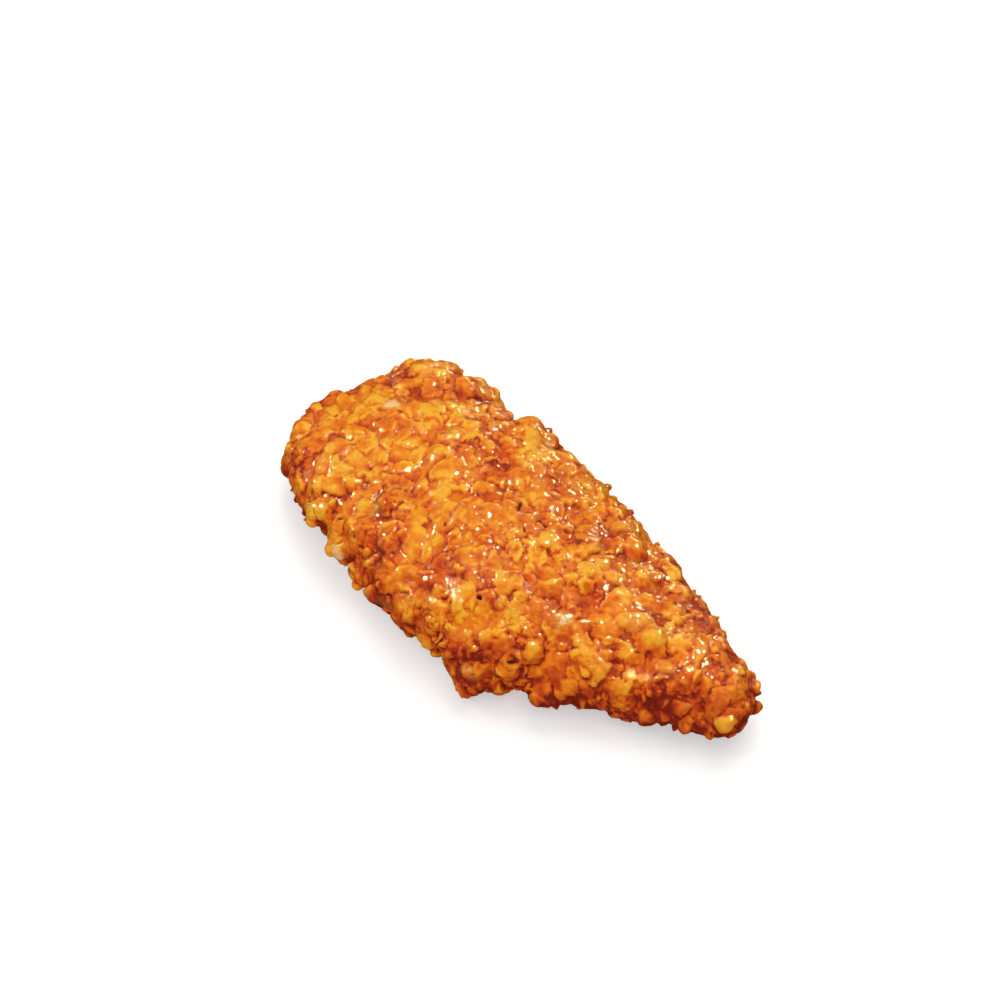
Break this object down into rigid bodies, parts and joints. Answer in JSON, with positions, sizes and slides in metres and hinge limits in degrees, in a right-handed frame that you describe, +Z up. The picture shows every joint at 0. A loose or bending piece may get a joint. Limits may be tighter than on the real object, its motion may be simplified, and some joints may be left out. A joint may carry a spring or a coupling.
{
  "type": "breaded chicken tender",
  "caption": "One breaded and fried chicken tender lying flat: a broad end tapering to a blunt tip, with a craggy crumb crust all over.",
  "frame": {"origin": "middle of the strip's footprint, on the surface that it rests on", "axes": "+X along the strip towards its tapered tip, +Z up out of the broad face that shows"},
  "size_m": [0.116, 0.0556, 0.021],
  "materials": {
    "fried_crust": "deep-fried crumb crust, golden orange with red-brown hollows, slightly oily"
  },
  "bodies": {
    "root": {"tender": "fried_crust"}
  },
  "joints": []
}
